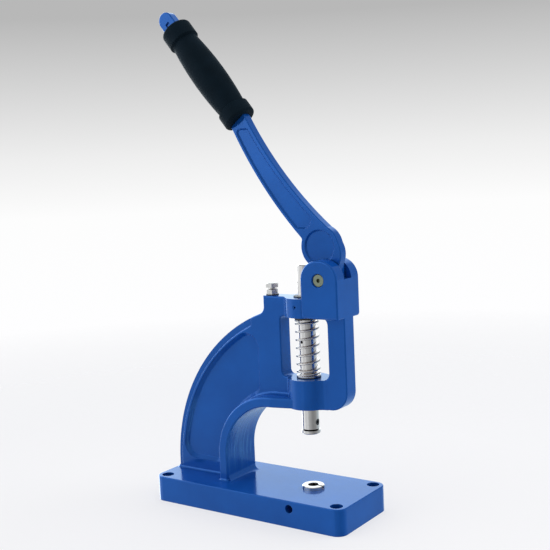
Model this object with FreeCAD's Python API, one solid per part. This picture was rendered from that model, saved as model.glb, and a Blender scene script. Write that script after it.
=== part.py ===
import FreeCAD, Part
import math
import os

# Hand lever eyelet press, in millimetres.
# The ram axis is Z, the base underside is Z = 0, and +X points to the front.

V = FreeCAD.Vector

# Shared fits and the one overrun for all cuts
cut_over = 2.0
running_gap = 0.05
push_gap = 0.03
face_gap = 0.05
loose_gap = 0.25
washer_gap = 0.2

# Base
base_length = 220.0
base_width = 86.0
base_height = 25.0
base_front_reach = 56.2
base_corner_r = 10.0
base_edge_r = 0.9
base_hole_r = 6.0
base_hole_end_inset = 10.2
base_hole_side_inset = 9.2

# Throat: from the ram axis back to the wall, and from the base up to the arm
throat_depth = 84.8
throat_height = 80.0
throat_r = 54.0
throat_foot_r = 6.0
rim_thickness = 10.0
rim_width = 48.0
rim_nose_width = 37.0
rim_nose_setback = 7.0
rim_taper_lead = 2.0
rim_taper_r = 20.0
rim_edge_r = 2.0
rim_root_r = 2.5

# Column web, its back arc and the lowered strip along that arc
web_thickness = 17.0
web_edge_r = 1.4
web_foot_r = 2.4
column_setback = 3.5
back_arc_foot = 6.0
shoulder_drop = 16.0
shoulder_r = 8.0
strip_width = 4.0
strip_drop = 2.6
strip_depth = 2.3
strip_foot_share = 1.05
strip_edge_r = 1.5
strip_head_setback = 16.4

# Sunk panel in each side of the web
panel_depth = 4.0
panel_foot_margin = 8.0
panel_back_margin = 8.4
panel_head_margin = 9.4
panel_rim_margin = 1.6
panel_front_setback = 51.4
panel_foot_rise = 12.4
panel_corner_share = 0.26
panel_slope = 3.4

# Head, window, bosses and front post
lower_boss_height = 27.8
window_height = 58.5
window_rear_reach = 25.0
window_front_reach = 27.2
window_corner_r = 5.0
window_front_corner_r = 7.0
post_depth = 18.8
post_corner_r = 18.0
boss_r = 20.0
boss_root_r = 3.0
boss_front_root_r = 13.0
bridge_height = 18.0
head_rear_depth = 18.6

# Fork that carries the lever
fork_width = 40.0
fork_depth = 38.8
fork_edge_r = 1.6
fork_foot_r = 3.0
ear_r = 18.1
slot_width = 13.0
slot_floor_rise = 1.7
slot_lip_thickness = 4.6
slot_lip_rise = 18.2

# Pivot pin, lever bush and the washers beside the lever
pivot_setback = 19.8
pivot_rise = 17.7
pin_r = 6.0
pin_recess_r = 6.5
pin_recess_depth = 1.2
pin_chamfer = 0.6
pin_centre_r = 1.9
pin_centre_depth = 2.6
lever_bush_r = 8.5
hub_washer_r = 12.0

# Lever: a round cam, a boss at the pivot, a bowed arm and a straight tang
lever_thickness = 10.0
lever_edge_r = 1.2
cam_r = 20.2
cam_setback = 6.2
cam_rise = 29.2
cam_front_setback = 3.8
cam_front_rise = 23.0
cam_panel_r = 16.0
pivot_boss_r = 14.0
arm_root_share = 0.97
arm_under_root_deg = 160.0
arm_over_root_deg = 51.0
arm_under_bow = 5.0
arm_over_bow = 6.6
tang_width = 19.8
tang_lead = 2.0
tang_offset = 1.2
tang_root_r = 20.0
neck_rear_r = 2.0
neck_front_r = 6.0
arm_under_r = 3.0
arm_over_r = 8.0
lever_panel_depth = 1.6
lever_panel_slope = 1.5
lever_panel_under_inset = 2.6
lever_panel_over_inset = 3.8
lever_panel_cam_gap = 0.6
lever_panel_tang_gap = 8.0
lever_panel_corner_r = 4.0
lever_panel_heel_r = 8.0
tip_r = 8.4
tip_reach = 21.2
tip_pocket_length = 8.0
tip_pocket_setback = 15.8
tip_pocket_width = 5.0
tip_pocket_depth = 1.5

# Grip sleeve on the tang
grip_setback = 86.1
grip_rise = 120.0
grip_lean_deg = 38.8
grip_length = 119.5
grip_belly_r = 16.2
grip_foot_neck_r = 13.7
grip_head_neck_r = 13.2
grip_foot_collar_r = 16.0
grip_head_collar_r = 15.5
grip_foot_collar = 13.5
grip_head_collar = 16.5
grip_collar_edge_r = 2.6
grip_neck_step = 1.4

# Ram with its nose and the bore for the upper die
ram_r = 8.0
ram_length = 160.7
ram_cam_gap = 0.3
ram_top_chamfer = 1.0
ram_nose_r = 9.1
ram_nose_height = 3.4
ram_nose_chamfer = 0.8
ram_neck_r = 6.4
ram_neck_height = 1.3
ram_bore_r = 4.0
ram_bore_depth = 27.0
ram_screw_rise = 11.2
ram_screw_r = 3.0
ram_screw_length = 3.0
ram_screw_sunk = 0.4
ram_screw_socket_r = 1.45
ram_screw_socket_depth = 1.4
ram_mark_rise = 88.0
ram_mark_deg = -102.0
ram_mark_r = 1.5
ram_mark_depth = 6.0

# Guide bushes, one in each boss
bush_r = 10.2
bush_flange_r = 11.6
bush_flange_height = 1.0
lower_bush_sunk = 0.6
bush_screw_r = 2.0
bush_screw_drop = 8.0
bush_screw_sink = 0.4
bush_screw_socket_r = 1.1
bush_screw_socket_depth = 2.4

# Return spring with its washers and the ring on the ram
spring_wire_r = 0.9
spring_coil_r = 10.5
spring_end_pitch = 2.5
spring_end_turns = 1.0
spring_active_turns = 6.0
spring_ramp_turns = 0.5
spring_seat_gap = 0.1
spring_start_deg = -100.0
washer_thickness = 1.4
washer_r = 11.5
ring_thickness = 1.2
ring_r = 10.4
ring_groove_r = 7.3
ring_top_gap = 0.4
ring_mouth_share = 0.55

# Seat ring for the lower die, and the screw that locks the die
seat_r = 10.7
seat_bore_r = 5.0
seat_proud = 3.2
seat_depth = 19.0
seat_chamfer = 0.6
seat_slot_width = 1.8
lock_screw_r = 4.0
lock_screw_drop = 7.6
lock_screw_length = 12.0
lock_screw_point_r = 2.4
lock_screw_point_gap = 0.3
lock_screw_shoulder_gap = 1.3
lock_screw_socket_r = 2.2
lock_screw_socket_depth = 3.5

# Stop screw with its nut and washer on the head
stop_setback = 13.0
stop_r = 3.0
stop_depth = 15.0
stop_washer_r = 6.2
stop_washer_thickness = 1.0
stop_nut_flats = 10.2
stop_nut_height = 5.0
stop_head_flats = 11.2
stop_head_height = 4.2
stop_neck = 1.4
hex_chamfer = 0.7

# Places along X that follow from those sizes
base_front_x = base_front_reach
base_rear_x = base_front_x - base_length
column_rear_x = base_rear_x + column_setback
throat_wall_x = -throat_depth
throat_x = throat_wall_x + throat_r
rim_nose_x = -rim_nose_setback
rim_taper_x = throat_x + rim_taper_lead
window_rear_x = -window_rear_reach
window_front_x = window_front_reach
head_rear_x = window_rear_x - head_rear_depth
post_front_x = window_front_x + post_depth
fork_rear_x = post_front_x - fork_depth
pivot_x = post_front_x - pivot_setback
cam_x = pivot_x - cam_setback
stop_x = window_rear_x - stop_setback

# Places along Z that follow from those sizes
arm_bottom_z = base_height + throat_height
throat_z = arm_bottom_z - throat_r
window_floor_z = arm_bottom_z + lower_boss_height
bridge_floor_z = window_floor_z + window_height
head_top_z = bridge_floor_z + bridge_height
shoulder_z = head_top_z - shoulder_drop
back_arc_z = base_height + back_arc_foot
pivot_z = head_top_z + pivot_rise
cam_z = pivot_z + cam_rise
slot_floor_z = head_top_z + slot_floor_rise
slot_lip_top_z = head_top_z + slot_lip_rise
ram_top_z = cam_z - math.sqrt(cam_r ** 2 - (cam_x - ram_r) ** 2) - ram_cam_gap
ram_bottom_z = ram_top_z - ram_length
ram_screw_z = ram_bottom_z + ram_screw_rise
ram_mark_z = ram_bottom_z + ram_mark_rise
bush_screw_z = head_top_z - bush_screw_drop
ring_top_z = bridge_floor_z - ring_top_gap
ring_floor_z = ring_top_z - ring_thickness
spring_foot_z = window_floor_z + bush_flange_height + washer_thickness
spring_head_z = ring_floor_z - washer_thickness
seat_floor_z = base_height - seat_depth
lock_screw_z = base_height - lock_screw_drop
stop_nut_z = head_top_z + stop_washer_thickness
stop_head_z = stop_nut_z + stop_nut_height + stop_neck

# Half sizes and radii that follow
web_half = web_thickness / 2
rim_half = rim_width / 2
fork_half = fork_width / 2
slot_half = slot_width / 2
lever_half = lever_thickness / 2
back_arc_run = head_rear_x - column_rear_x
back_arc_r = (back_arc_run ** 2 + (shoulder_z - back_arc_z) ** 2) / (back_arc_run * 2)
back_arc_x = column_rear_x + back_arc_r


def box(x0, x1, y0, y1, z0, z1):
    return Part.makeBox(x1 - x0, y1 - y0, z1 - z0, V(x0, y0, z0))


def rod_z(radius, z0, z1, x=0.0, y=0.0):
    return Part.makeCylinder(radius, z1 - z0, V(x, y, z0), V(0, 0, 1))


def rod_y(radius, y0, y1, x, z):
    return Part.makeCylinder(radius, y1 - y0, V(x, y0, z), V(0, 1, 0))


def rod_x(radius, x0, x1, y, z):
    return Part.makeCylinder(radius, x1 - x0, V(x0, y, z), V(1, 0, 0))


def point(pair):
    """A point of a side outline, given as its X and Z."""
    return V(pair[0], 0, pair[1])


def line(a, b):
    return Part.LineSegment(point(a), point(b)).toShape()


def arc(a, m, b):
    return Part.Arc(point(a), point(m), point(b)).toShape()


def on_circle(cx, cz, radius, degrees):
    turn = math.radians(degrees)
    return (cx + radius * math.cos(turn), cz + radius * math.sin(turn))


def plate(edges, y0, y1):
    """A side outline in the XZ plane, thickened from y0 to y1."""
    face = Part.Face(Part.Wire(edges))
    face.translate(V(0, y0, 0))
    return face.extrude(V(0, y1 - y0, 0))


def lies_along(edge, axis):
    """True for a straight edge that runs along the given axis."""
    if not isinstance(edge.Curve, Part.Line):
        return False
    return abs(edge.Curve.Direction.dot(axis)) > math.cos(math.radians(1))


def at_depth(edge, value, axis):
    """True for an edge that lies all over in the plane at value along the axis."""
    ends = [v.Point.dot(axis) for v in edge.Vertexes]
    ends.append(edge.CenterOfMass.dot(axis))
    return all(abs(end - value) < push_gap / 2 for end in ends)


def side_edges(shape, half):
    """Edges of a plate that lie in either of its two side faces."""
    across = V(0, 1, 0)
    return [e for e in shape.Edges if at_depth(e, half, across) or at_depth(e, -half, across)]


def hexagon(flats, z0, z1, x):
    """Upright hexagonal prism with rounded-off corners at its top."""
    corner_r = flats / math.sqrt(3)
    corners = [V(x, 0, z0) + V(*on_circle(0, 0, corner_r, 60 * i), 0) for i in range(6)]
    prism = Part.Face(Part.makePolygon(corners + corners[:1])).extrude(V(0, 0, z1 - z0))
    slope = hex_chamfer * 2
    low = rod_z(corner_r, z0, z1 - hex_chamfer, x)
    top = Part.makeCone(corner_r, corner_r - slope, hex_chamfer, V(x, 0, z1 - hex_chamfer), V(0, 0, 1))
    return prism.common(low.fuse(top).removeSplitter())


def hex_socket(radius, depth, start, direction):
    """Hexagonal socket as a tool for cutting, from its mouth inwards."""
    along = V(*direction)
    side = V(0, 0, 1) if abs(along.z) < math.cos(math.radians(45)) else V(1, 0, 0)
    other = along.cross(side)
    mouth = V(*start) - along * cut_over
    corners = []
    for i in range(6):
        u, w = on_circle(0, 0, radius, 60 * i)
        corners.append(mouth + side * u + other * w)
    return Part.Face(Part.makePolygon(corners + corners[:1])).extrude(along * (depth + cut_over))


def back_arc_at(x):
    """Height of the column's back arc above a place along X."""
    return back_arc_z + math.sqrt(back_arc_r ** 2 - (x - back_arc_x) ** 2)


def make_base():
    y = base_width / 2
    slab = box(base_rear_x, base_front_x, -y, y, 0, base_height)
    slab = slab.makeFillet(base_corner_r, [e for e in slab.Edges if lies_along(e, V(0, 0, 1))])
    up = V(0, 0, 1)
    return slab.makeFillet(base_edge_r, [e for e in slab.Edges if at_depth(e, base_height, up)])


def web_outline():
    """Side outline of the column, head, arm and front post."""
    foot_z = base_height - cut_over
    arc_end = (head_rear_x, shoulder_z)
    arc_mid = on_circle(back_arc_x, back_arc_z, back_arc_r, 145)
    corner_mid = on_circle(post_front_x - post_corner_r, arm_bottom_z + post_corner_r, post_corner_r, -45)
    throat_mid = on_circle(throat_x, throat_z, throat_r, 135)
    edges = [
        line((column_rear_x, foot_z), (column_rear_x, back_arc_z)),
        arc((column_rear_x, back_arc_z), arc_mid, arc_end),
        line(arc_end, (head_rear_x, head_top_z)),
        line((head_rear_x, head_top_z), (post_front_x, head_top_z)),
        line((post_front_x, head_top_z), (post_front_x, arm_bottom_z + post_corner_r)),
        arc((post_front_x, arm_bottom_z + post_corner_r), corner_mid,
            (post_front_x - post_corner_r, arm_bottom_z)),
        line((post_front_x - post_corner_r, arm_bottom_z), (throat_x, arm_bottom_z)),
        arc((throat_x, arm_bottom_z), throat_mid, (throat_wall_x, throat_z)),
        line((throat_wall_x, throat_z), (throat_wall_x, foot_z)),
        line((throat_wall_x, foot_z), (column_rear_x, foot_z)),
    ]
    return edges


def window_tool(y_half):
    tool = box(window_rear_x, window_front_x, -y_half, y_half, window_floor_z, bridge_floor_z)
    corners = [e for e in tool.Edges if lies_along(e, V(0, 1, 0))]
    front = [e for e in corners if e.CenterOfMass.x > 0]
    middles = [e.CenterOfMass for e in front]
    tool = tool.makeFillet(window_corner_r, [e for e in corners if e.CenterOfMass.x < 0])
    front = [e for e in tool.Edges if any((e.CenterOfMass - m).Length < push_gap for m in middles)]
    return tool.makeFillet(window_front_corner_r, front)


def make_web():
    web = plate(web_outline(), -web_half, web_half)
    notch = [e for e in web.Edges if lies_along(e, V(0, 1, 0))
             and abs(e.CenterOfMass.x - head_rear_x) < push_gap
             and e.CenterOfMass.z < head_top_z - push_gap]
    web = web.makeFillet(shoulder_r, notch)
    web = web.cut(window_tool(web_half + cut_over))
    web = web.makeFillet(web_edge_r, side_edges(web, web_half))
    web = web.cut(strip_tools())
    return web.makeFillet(strip_edge_r, [e for e in side_edges(web, web_half) if bounds_strip(e)])


def bounds_strip(edge):
    """True for an edge of the web's side face that the lowered strip has cut."""
    inner_r = back_arc_r - strip_width
    inner_z = back_arc_z - strip_drop
    ends = [v.Point for v in edge.Vertexes]
    if all(abs(end.x - head_rear_x + strip_head_setback) < push_gap for end in ends):
        return True
    return all(abs(math.hypot(end.x - back_arc_x, end.z - inner_z) - inner_r) < push_gap for end in ends)


def strip_tools():
    """Tools that lower the narrow strip along the back arc, one per side."""
    inner_z = back_arc_z - strip_drop
    strip_foot_z = base_height + web_foot_r * strip_foot_share
    strip_head_x = head_rear_x - strip_head_setback
    tools = []
    for side in (1, -1):
        y0, y1 = sorted((side * (web_half - strip_depth), side * (web_half + cut_over)))
        outer = rod_y(back_arc_r + cut_over, y0, y1, back_arc_x, back_arc_z)
        inner = rod_y(back_arc_r - strip_width, y0, y1, back_arc_x, inner_z)
        reach = box(base_rear_x, strip_head_x, y0, y1, strip_foot_z, head_top_z)
        tools.append(outer.cut(inner).common(reach))
    return tools


def panel_outline(foot_rear_x, foot_front_x, foot_z):
    """Side outline of the sunk panel, between the back arc and the rim."""
    inner_r = throat_x - foot_front_x
    front_x = -panel_front_setback
    rim_top = (front_x, throat_z + math.sqrt(inner_r ** 2 - (front_x - throat_x) ** 2))
    rim_mid = on_circle(throat_x, throat_z, inner_r, 145)
    top = (front_x, back_arc_at(front_x) - panel_head_margin)
    back_mid = on_circle(back_arc_x, back_arc_z, back_arc_r - panel_back_margin, 142)
    return [
        line(rim_top, top),
        arc(top, back_mid, (foot_rear_x, foot_z)),
        line((foot_rear_x, foot_z), (foot_front_x, foot_z)),
        line((foot_front_x, foot_z), (foot_front_x, throat_z)),
        arc((foot_front_x, throat_z), rim_mid, rim_top),
    ]


def panel_tools():
    """Tools that sink the panels, one per side, with sloped walls and corners in scale with the foot."""
    foot_z = base_height + panel_foot_rise
    foot_rear_x = back_arc_x - math.sqrt(back_arc_r ** 2 - (foot_z - back_arc_z) ** 2) + panel_foot_margin
    foot_front_x = throat_wall_x - rim_thickness - panel_rim_margin
    corner_r = (foot_front_x - foot_rear_x) * panel_corner_share
    tools = []
    for side in (1, -1):
        floor = side * (web_half - panel_depth)
        mouth = side * (web_half + cut_over)
        y0, y1 = sorted((floor, mouth))
        tool = plate(panel_outline(foot_rear_x, foot_front_x, foot_z), y0, y1)
        upright = [e for e in tool.Edges if lies_along(e, V(0, 1, 0))
                   and abs(e.CenterOfMass.z - throat_z) > push_gap]
        tool = tool.makeFillet(corner_r, upright)
        bottom = [e for e in tool.Edges if at_depth(e, floor, V(0, 1, 0))]
        tools.append(tool.makeChamfer(panel_slope, bottom))
    return tools


def make_rim():
    """Wide rim around the throat, from the foot to the lower boss."""
    outer_r = throat_r + rim_thickness
    foot_z = base_height - cut_over
    edges = [
        line((throat_wall_x, foot_z), (throat_wall_x, throat_z)),
        arc((throat_wall_x, throat_z), on_circle(throat_x, throat_z, throat_r, 135),
            (throat_x, arm_bottom_z)),
        line((throat_x, arm_bottom_z), (rim_nose_x, arm_bottom_z)),
        line((rim_nose_x, arm_bottom_z), (rim_nose_x, arm_bottom_z + rim_thickness)),
        line((rim_nose_x, arm_bottom_z + rim_thickness), (throat_x, arm_bottom_z + rim_thickness)),
        arc((throat_x, arm_bottom_z + rim_thickness), on_circle(throat_x, throat_z, outer_r, 135),
            (throat_x - outer_r, throat_z)),
        line((throat_x - outer_r, throat_z), (throat_x - outer_r, foot_z)),
        line((throat_x - outer_r, foot_z), (throat_wall_x, foot_z)),
    ]
    rim = plate(edges, -rim_half, rim_half)
    plan = [(base_rear_x, -rim_half), (rim_taper_x, -rim_half), (rim_nose_x, -rim_nose_width / 2),
            (rim_nose_x, rim_nose_width / 2), (rim_taper_x, rim_half), (base_rear_x, rim_half)]
    corners = [V(x, y, 0) for x, y in plan]
    plan_solid = Part.Face(Part.makePolygon(corners + corners[:1])).extrude(V(0, 0, head_top_z))
    rim = rim.common(plan_solid)
    rim = rim.makeFillet(rim_taper_r, [e for e in rim.Edges if lies_along(e, V(0, 0, 1))
                                       and abs(e.CenterOfMass.x - rim_taper_x) < push_gap])
    return rim.makeFillet(rim_edge_r, [e for e in rim.Edges if is_long_rim_edge(e)])


def is_long_rim_edge(edge):
    """True for an edge that runs along the rim on either side of it."""
    middle = edge.CenterOfMass
    across = lies_along(edge, V(0, 1, 0))
    upright_nose = lies_along(edge, V(0, 0, 1)) and middle.z > arm_bottom_z
    return abs(middle.y) > rim_nose_width / 2 - rim_edge_r and not (
        across or upright_nose or at_depth(edge, base_height - cut_over, V(0, 0, 1)))


def make_fork():
    """Block with two ears, rounded about the pivot, with the lever's slot."""
    rear_x = fork_rear_x + ear_r
    front_x = post_front_x - ear_r
    top_z = pivot_z + ear_r
    edges = [
        line((fork_rear_x, bridge_floor_z), (fork_rear_x, pivot_z)),
        arc((fork_rear_x, pivot_z), on_circle(rear_x, pivot_z, ear_r, 135), (rear_x, top_z)),
        line((rear_x, top_z), (front_x, top_z)),
        arc((front_x, top_z), on_circle(front_x, pivot_z, ear_r, 45), (post_front_x, pivot_z)),
        line((post_front_x, pivot_z), (post_front_x, bridge_floor_z)),
        line((post_front_x, bridge_floor_z), (fork_rear_x, bridge_floor_z)),
    ]
    block = plate(edges, -fork_half, fork_half)
    feet = [e for e in side_edges(block, fork_half) if at_depth(e, bridge_floor_z, V(0, 0, 1))]
    block = block.makeFillet(fork_foot_r, feet)
    return block.makeFillet(fork_edge_r, side_edges(block, fork_half))


def fork_slot_tool():
    """The lever's slot, with a round room at its rear for the upper bush's flange."""
    lip_x = post_front_x - slot_lip_thickness
    top_z = pivot_z + ear_r + cut_over
    reach_x = post_front_x + cut_over
    deep = box(fork_rear_x - boss_r, lip_x, -slot_half, slot_half, slot_floor_z, top_z)
    over_lip = box(lip_x - cut_over, reach_x, -slot_half, slot_half, slot_lip_top_z, top_z)
    flange_room = rod_z(bush_flange_r + loose_gap, head_top_z, slot_floor_z)
    return deep.fuse([over_lip, flange_room]).removeSplitter()


def boss_root(side_x, side_y, root_r, z0, z1):
    """Hollow corner of radius root_r between the boss and one side of the web."""
    centre_y = web_half + root_r
    centre_x = math.sqrt((boss_r + root_r) ** 2 - centre_y ** 2)
    share = boss_r / (boss_r + root_r)
    turn = math.atan2(-centre_y, -centre_x)
    half_way = (turn - math.pi / 2) / 2
    axis = V(0, 0, z0)
    meet = V(side_x * centre_x * share, side_y * centre_y * share, z0)
    mid = V(side_x * (centre_x + root_r * math.cos(half_way)),
            side_y * (centre_y + root_r * math.sin(half_way)), z0)
    foot = V(side_x * centre_x, side_y * web_half, z0)
    inner = V(side_x * centre_x, 0, z0)
    edges = [Part.Arc(meet, mid, foot).toShape(), Part.LineSegment(foot, inner).toShape(),
             Part.LineSegment(inner, axis).toShape(), Part.LineSegment(axis, meet).toShape()]
    return Part.Face(Part.Wire(edges)).extrude(V(0, 0, z1 - z0))


def make_boss(z0, z1):
    """Round boss about the ram axis that flows into both sides of the web, more softly at the front."""
    roots = [boss_root(side_x, side_y, root_r, z0, z1)
             for side_x, root_r in ((1, boss_front_root_r), (-1, boss_root_r)) for side_y in (1, -1)]
    return rod_z(boss_r, z0, z1).fuse(roots).removeSplitter()


def foot_edges(body):
    """Edges where the column and the rim stand on the base."""
    found = []
    for edge in body.Edges:
        middle = edge.CenterOfMass
        inside = column_rear_x - push_gap < middle.x < throat_wall_x + rim_edge_r
        if inside and abs(middle.y) < rim_half + push_gap and at_depth(edge, base_height, V(0, 0, 1)):
            found.append(edge)
    return found


def rim_root_edges(body):
    """Edges where the back of the rim meets the two sides of the web."""
    outer_r = throat_r + rim_thickness
    found = []
    for edge in body.Edges:
        if abs(abs(edge.CenterOfMass.y) - web_half) > push_gap or lies_along(edge, V(0, 1, 0)):
            continue
        if edge.CenterOfMass.z < base_height + push_gap:
            continue
        if all(abs(rim_back_distance(v.Point, outer_r)) < push_gap for v in edge.Vertexes):
            found.append(edge)
    return found


def rim_back_distance(place, outer_r):
    """How far a place lies from the back face of the rim, seen from the side."""
    if place.x > throat_x - push_gap:
        return place.z - arm_bottom_z - rim_thickness
    if place.z < throat_z + push_gap:
        return place.x - throat_x + outer_r
    return math.hypot(place.x - throat_x, place.z - throat_z) - outer_r


def make_throat_foot():
    """Hollow corner between the throat wall and the base, as wide as the flat part of the wall."""
    y_half = rim_half - rim_edge_r
    wall_x, hollow_x = throat_wall_x, throat_wall_x + throat_foot_r
    foot = box(wall_x, hollow_x, -y_half, y_half, base_height, base_height + throat_foot_r)
    return foot.cut(rod_y(throat_foot_r, -y_half, y_half, hollow_x, base_height + throat_foot_r))


def make_frame():
    """One casting: base, column, rim, arm, window, head and fork."""
    body = make_base().fuse([make_web(), make_rim()]).removeSplitter()
    body = body.makeFillet(rim_root_r, rim_root_edges(body))
    body = body.makeFillet(web_foot_r, foot_edges(body))
    bosses = [make_boss(arm_bottom_z, window_floor_z), make_boss(bridge_floor_z, head_top_z)]
    body = body.fuse([make_fork(), make_throat_foot()] + bosses).removeSplitter()
    body = body.cut(panel_tools())
    bores = [
        rod_z(seat_r + push_gap, seat_floor_z, base_height + cut_over),
        rod_z(bush_r + push_gap, arm_bottom_z - cut_over, window_floor_z + cut_over),
        rod_z(bush_r + push_gap, bridge_floor_z - cut_over, head_top_z + cut_over),
        rod_y(lock_screw_r + running_gap, -base_width / 2 - cut_over, 0, 0, lock_screw_z),
        rod_y(bush_screw_r + push_gap, -boss_r - cut_over, 0, 0, bush_screw_z),
        rod_z(stop_r + running_gap, head_top_z - stop_depth - cut_over, head_top_z + cut_over, stop_x),
        rod_y(pin_r + push_gap, -fork_half - cut_over, fork_half + cut_over, pivot_x, pivot_z),
        fork_slot_tool(),
    ]
    for side in (1, -1):
        y0, y1 = sorted((side * (fork_half - pin_recess_depth), side * (fork_half + cut_over)))
        bores.append(rod_y(pin_recess_r, y0, y1, pivot_x, pivot_z))
    for x in (base_front_x - base_hole_end_inset, base_rear_x + base_hole_end_inset):
        for side in (1, -1):
            y = side * (base_width / 2 - base_hole_side_inset)
            bores.append(rod_z(base_hole_r, -cut_over, base_height + cut_over, x, y))
    return body.cut(bores)


def make_seat_ring():
    top = base_height + seat_proud
    ring = rod_z(seat_r, seat_floor_z, top)
    ring = ring.makeChamfer(seat_chamfer, [e for e in ring.Edges if at_depth(e, top, V(0, 0, 1))])
    ring = ring.cut(rod_z(seat_bore_r, seat_floor_z - cut_over, top + cut_over))
    ring = ring.makeChamfer(seat_chamfer / 2, [e for e in ring.Edges if at_depth(e, top, V(0, 0, 1))
                                              and abs(e.Curve.Radius - seat_bore_r) < push_gap])
    half = seat_slot_width / 2
    slot = box(0, seat_r + cut_over, -half, half, base_height, top + cut_over)
    screw_hole = rod_y(lock_screw_point_r + running_gap, -seat_r - cut_over, 0, 0, lock_screw_z)
    return ring.cut([slot, screw_hole])


def make_lock_screw():
    """Socket screw in the base with a point that passes through the seat ring."""
    point_y = -seat_bore_r - lock_screw_point_gap
    shoulder_y = -seat_r - lock_screw_shoulder_gap
    tail_y = shoulder_y - lock_screw_length
    body = rod_y(lock_screw_r, tail_y, shoulder_y, 0, lock_screw_z)
    body = body.fuse(rod_y(lock_screw_point_r, shoulder_y, point_y, 0, lock_screw_z))
    socket = hex_socket(lock_screw_socket_r, lock_screw_socket_depth, (0, tail_y, lock_screw_z), (0, 1, 0))
    return body.cut(socket)


def make_bush(z0, z1):
    """Guide bush for the ram, with a thin flange on its top."""
    bush = rod_z(bush_r, z0, z1).fuse(rod_z(bush_flange_r, z1, z1 + bush_flange_height))
    return bush.cut(rod_z(ram_r + running_gap, z0 - cut_over, z1 + bush_flange_height + cut_over))


def make_bush_screw():
    tip_y = -bush_r
    tail_y = -boss_r + bush_screw_sink
    screw = rod_y(bush_screw_r, tail_y, tip_y, 0, bush_screw_z)
    seat = rod_z(bush_r + push_gap, bridge_floor_z, head_top_z)
    socket = hex_socket(bush_screw_socket_r, bush_screw_socket_depth, (0, tail_y, bush_screw_z), (0, 1, 0))
    return screw.cut([seat, socket])


def make_ram():
    up = V(0, 0, 1)
    ram = rod_z(ram_r, ram_bottom_z, ram_top_z)
    ram = ram.makeChamfer(ram_top_chamfer, [e for e in ram.Edges if at_depth(e, ram_top_z, up)])
    nose = rod_z(ram_nose_r, ram_bottom_z, ram_bottom_z + ram_nose_height)
    nose = nose.makeChamfer(ram_nose_chamfer, [e for e in nose.Edges if at_depth(e, ram_bottom_z, up)])
    ram = ram.fuse(nose)
    neck_z = ram_bottom_z + ram_nose_height
    tools = [
        rod_z(ram_nose_r, neck_z, neck_z + ram_neck_height).cut(
            rod_z(ram_neck_r, neck_z, neck_z + ram_neck_height)),
        rod_z(ram_nose_r, ring_floor_z, ring_top_z).cut(rod_z(ring_groove_r, ring_floor_z, ring_top_z)),
        rod_z(ram_bore_r, ram_bottom_z - cut_over, ram_bottom_z + ram_bore_depth),
        rod_x(ram_screw_r + running_gap, 0, ram_nose_r, 0, ram_screw_z),
        ram_mark_tool(),
    ]
    return ram.cut(tools)


def ram_mark_tool():
    """Small round hole in the ram's side, turned a little to the rear."""
    hole = rod_x(ram_mark_r, ram_r - ram_mark_depth, ram_nose_r, 0, ram_mark_z)
    hole.rotate(V(0, 0, 0), V(0, 0, 1), ram_mark_deg)
    return hole


def make_ram_screw():
    mouth_x = ram_r - ram_screw_sunk
    screw = rod_x(ram_screw_r, mouth_x - ram_screw_length, mouth_x, 0, ram_screw_z)
    socket = hex_socket(ram_screw_socket_r, ram_screw_socket_depth, (mouth_x, 0, ram_screw_z), (-1, 0, 0))
    return screw.cut(socket)


def make_washer(outer, inner, z0, z1, x=0.0):
    return rod_z(outer, z0, z1, x).cut(rod_z(inner, z0 - cut_over, z1 + cut_over, x))


def make_retaining_ring():
    """Open ring that sits in the ram's groove; its mouth faces the rear."""
    ring = make_washer(ring_r, ring_groove_r, ring_floor_z, ring_top_z)
    mouth = ring_groove_r * ring_mouth_share
    return ring.cut(box(-ring_r - cut_over, 0, -mouth, mouth, ring_floor_z - cut_over, ring_top_z + cut_over))


def spring_turns():
    return spring_active_turns + spring_end_turns * 2


def spring_height(turn, active_pitch):
    """Height of the wire's centre line after some turns, closed at both ends."""
    extra = active_pitch - spring_end_pitch
    rise = spring_end_pitch * turn
    for start, sign in ((spring_end_turns, 1), (spring_turns() - spring_end_turns, -1)):
        past = turn - (start - spring_ramp_turns / 2)
        if past > spring_ramp_turns:
            rise += sign * extra * (past - spring_ramp_turns / 2)
        elif past > 0:
            rise += sign * extra * past ** 2 / (spring_ramp_turns * 2)
    return rise


def spring_pitch():
    """Active pitch that makes the spring fill the room between its washers."""
    room = spring_head_z - spring_foot_z - (spring_wire_r + spring_seat_gap) * 2
    return spring_end_pitch + (room - spring_end_pitch * spring_turns()) / spring_active_turns


def spring_angle(turn):
    return 2 * math.pi * turn + math.radians(spring_start_deg)


def spring_point(turn, active_pitch):
    base_z = spring_foot_z + spring_seat_gap + spring_wire_r
    around = spring_angle(turn)
    return V(spring_coil_r * math.cos(around), spring_coil_r * math.sin(around),
             base_z + spring_height(turn, active_pitch))


def spring_tangent(turn, active_pitch):
    step = spring_ramp_turns / 1000
    ahead = spring_height(turn + step, active_pitch) - spring_height(turn - step, active_pitch)
    around = spring_angle(turn)
    run = 2 * math.pi * spring_coil_r * step * 2
    along = V(-math.sin(around) * run, math.cos(around) * run, ahead)
    return along.normalize()


def tangent_arc(start, corner, end):
    """Arc from start to end whose end tangents meet at the corner."""
    middle = (start + end) / 2
    half_turn = math.atan2((corner - middle).Length, (end - start).Length / 2)
    bulge = math.tan(half_turn / 2) / math.tan(half_turn)
    return Part.Arc(start, middle + (corner - middle) * bulge, end).toShape()


def biarc(p0, t0, p1, t1):
    """Two arcs that join smoothly and keep both end tangents."""
    chord = p1 - p0
    both = t0 + t1
    a = both.dot(both) - 4
    b = -2 * chord.dot(both)
    c = chord.dot(chord)
    reach = (-b - math.sqrt(b * b - 4 * a * c)) / (2 * a)
    corner0 = p0 + t0 * reach
    corner1 = p1 - t1 * reach
    join = (corner0 + corner1) / 2
    return [tangent_arc(p0, corner0, join), tangent_arc(join, corner1, p1)]


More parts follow.
